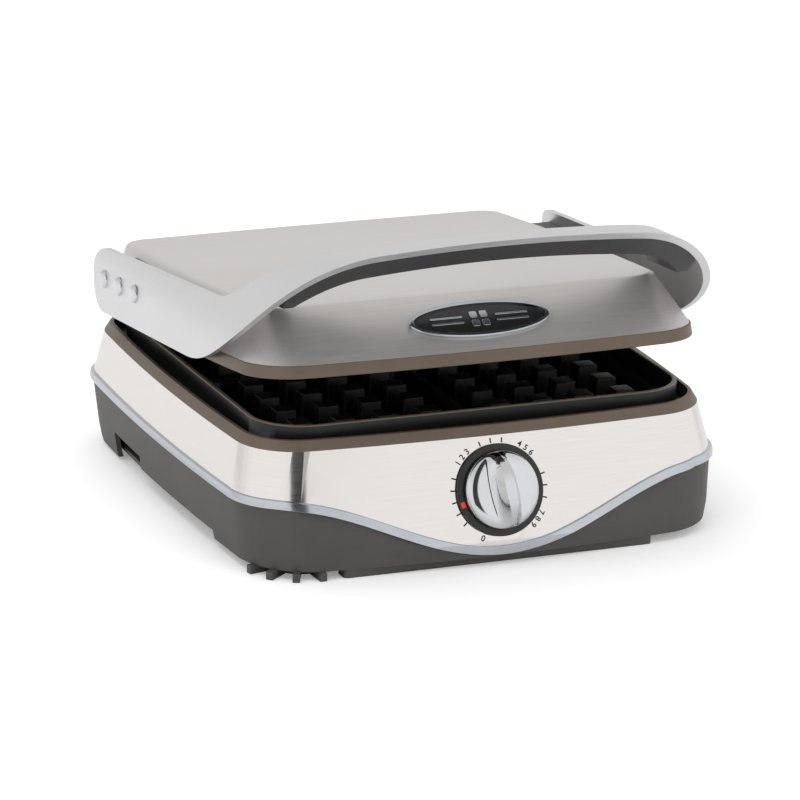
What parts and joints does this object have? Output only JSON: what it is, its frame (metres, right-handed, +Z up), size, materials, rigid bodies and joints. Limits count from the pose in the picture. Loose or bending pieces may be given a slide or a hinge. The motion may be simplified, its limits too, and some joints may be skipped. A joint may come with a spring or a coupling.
{
  "type": "waffle maker",
  "caption": "Countertop waffle maker with a steel-skinned base and lid, rear-hinged lid on a bail handle, studded grid plates, a control knob and a timer ring.",
  "frame": {"origin": "on the table, under the middle of the outline, with the feet resting on z = 0", "axes": "+X to the right of someone facing the control panel, +Y from the panel to the hinge, +Z up"},
  "size_m": [0.3066, 0.3508, 0.1929],
  "materials": {
    "steel_skin": "fine horizontal brushing, nearly polished",
    "lid_steel": "brushed from side to side, satin",
    "bright_trim": "satin chrome",
    "dark_moulding": "fine grained moulding",
    "foot_rubber": "matt",
    "inner_steel": "plain zinc plated sheet",
    "fastener_steel": "bright turned steel",
    "rim_casting": "bead blasted casting",
    "nonstick": "black non-stick coating",
    "element_steel": "heat tinted tube",
    "electric_plastic": "plain moulding",
    "board_green": "lacquered board",
    "ring_plastic": "satin moulding",
    "mark_red": "painted mark",
    "knob_metal": "satin chrome",
    "handle_metal": "satin anodised",
    "black_plastic": "fine grained moulding",
    "badge_black": "gloss enamel"
  },
  "bodies": {
    "base": {"steel_band": "steel_skin", "silver_bead": "bright_trim", "base_skirt": "dark_moulding", "bottom_cover": "dark_moulding", "corner_ribs": "dark_moulding", "rubber_feet": "foot_rubber", "base_chassis": "inner_steel", "cover_screws": "fastener_steel", "lower_rim": "rim_casting", "lower_grid_plate": "nonstick", "lower_element": "element_steel", "reflector_pan": "inner_steel", "thermostat": "electric_plastic", "control_board": "board_green", "buzzer": "electric_plastic", "terminal_block": "electric_plastic", "cord_gland": "foot_rubber", "timer_gearbox": "electric_plastic", "panel_bush": "electric_plastic", "hinge_brackets": "inner_steel", "hinge_pins": "fastener_steel", "hinge_washers": "fastener_steel"},
    "timer": {"timer_ring": "ring_plastic", "timer_mark": "mark_red"},
    "control": {"knob": "knob_metal", "knob_shaft": "fastener_steel"},
    "lid": {"lid_hinge_arms": "inner_steel", "upper_rim": "rim_casting", "upper_grid_plate": "nonstick", "lid_shell": "lid_steel", "upper_element": "element_steel", "lid_heat_shield": "inner_steel", "thermal_fuse": "electric_plastic", "handle": "handle_metal", "grip_insert": "black_plastic", "handle_mounts": "black_plastic", "handle_rivets": "fastener_steel", "badge_bezel": "bright_trim", "badge_plate": "badge_black", "badge_emblem": "bright_trim"}
  },
  "joints": [
    {"name": "lid_hinge", "type": "hinge", "parent": "base", "child": "lid", "pos_m": [0, 0.161, 0.085], "axis": [-1, 0, 0], "range_deg": [-5.62, 94.4]},
    {"name": "timer_turn", "type": "hinge", "parent": "base", "child": "timer", "pos_m": [0, -0.15206, 0.0414], "axis": [0, -0.9541, 0.2996], "range_deg": [-250, 50]},
    {"name": "knob_turn", "type": "hinge", "parent": "base", "child": "control", "pos_m": [0, -0.15206, 0.0414], "axis": [0, -0.9541, 0.2996], "range_deg": [-149, 146]}
  ]
}
